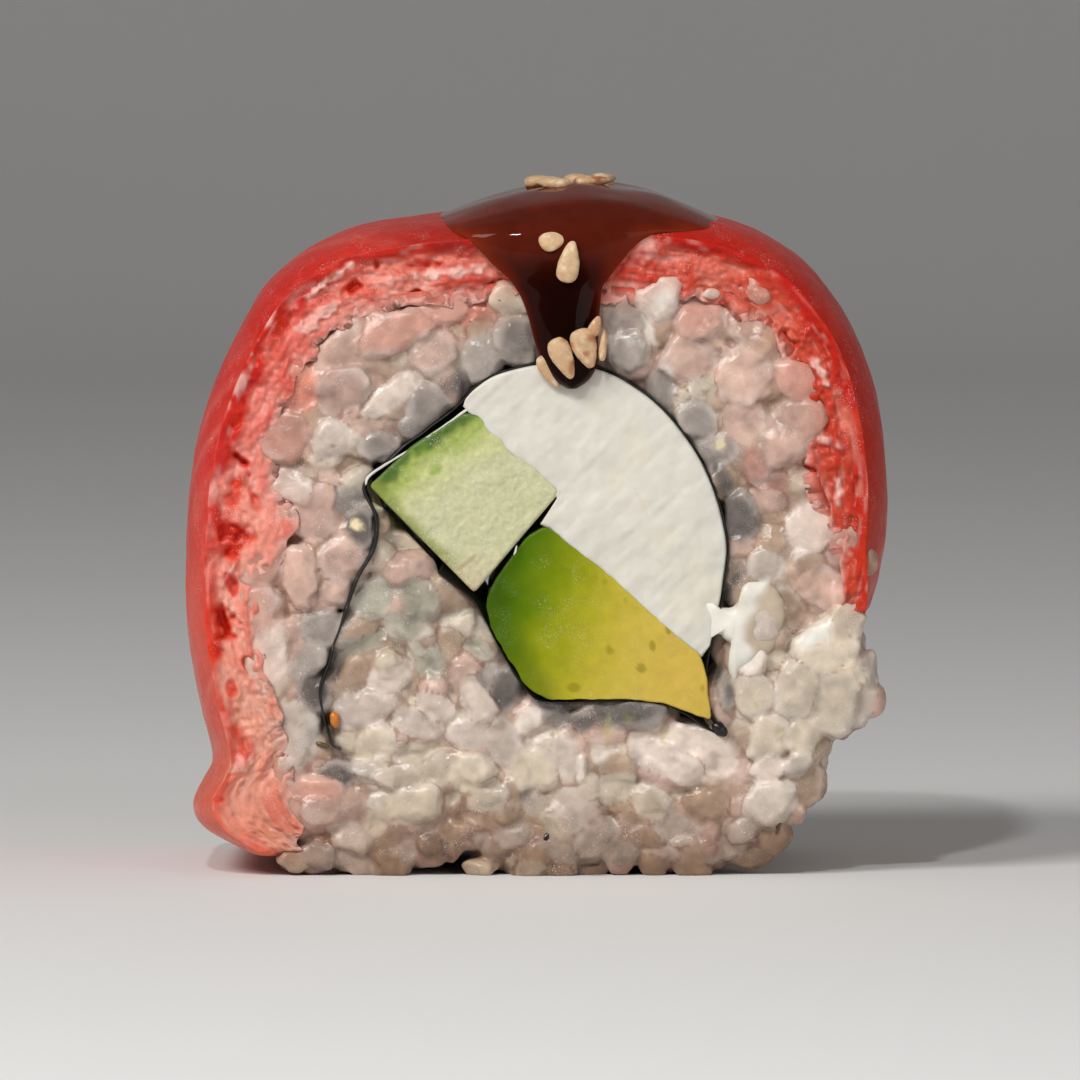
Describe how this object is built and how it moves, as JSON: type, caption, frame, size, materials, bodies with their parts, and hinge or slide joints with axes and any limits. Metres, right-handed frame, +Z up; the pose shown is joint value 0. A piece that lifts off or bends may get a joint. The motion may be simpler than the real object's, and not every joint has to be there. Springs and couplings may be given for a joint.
{
  "type": "uramaki roll",
  "caption": "One cut piece of an inside-out sushi roll: rice round nori with cucumber, avocado and cream cheese, raw fish draped over it, and a dark glaze with sesame running down its face",
  "frame": {"origin": "middle of the underside of the piece's box, on the surface it stands on", "axes": "+Z up, +Y along the roll's axis to its back face, -Y out of the front cut face with the filling, +X to the right as seen from the front"},
  "size_m": [0.0504, 0.03, 0.0496],
  "materials": {
    "fish": "moist raw fish, deep coral outside with a soft gloss, paler and flaky where cut",
    "rice": "cooked short-grain rice, translucent and sticky with a wet sheen",
    "nori": "damp seaweed sheet, black with a dull sheen",
    "cream_cheese": "soft white cheese, cut smooth with small drag marks",
    "cucumber": "wet cut cucumber, pale in the middle and green towards the skin",
    "avocado": "ripe avocado, deep green at the skin side turning to yellow",
    "glaze": "thick brown sauce, glossy, with toasted sesame on it"
  },
  "bodies": {
    "root": {"fish": "fish", "rice": "rice", "nori": "nori", "cream_cheese": "cream_cheese", "cucumber": "cucumber", "avocado": "avocado", "glaze": "glaze"}
  },
  "joints": []
}
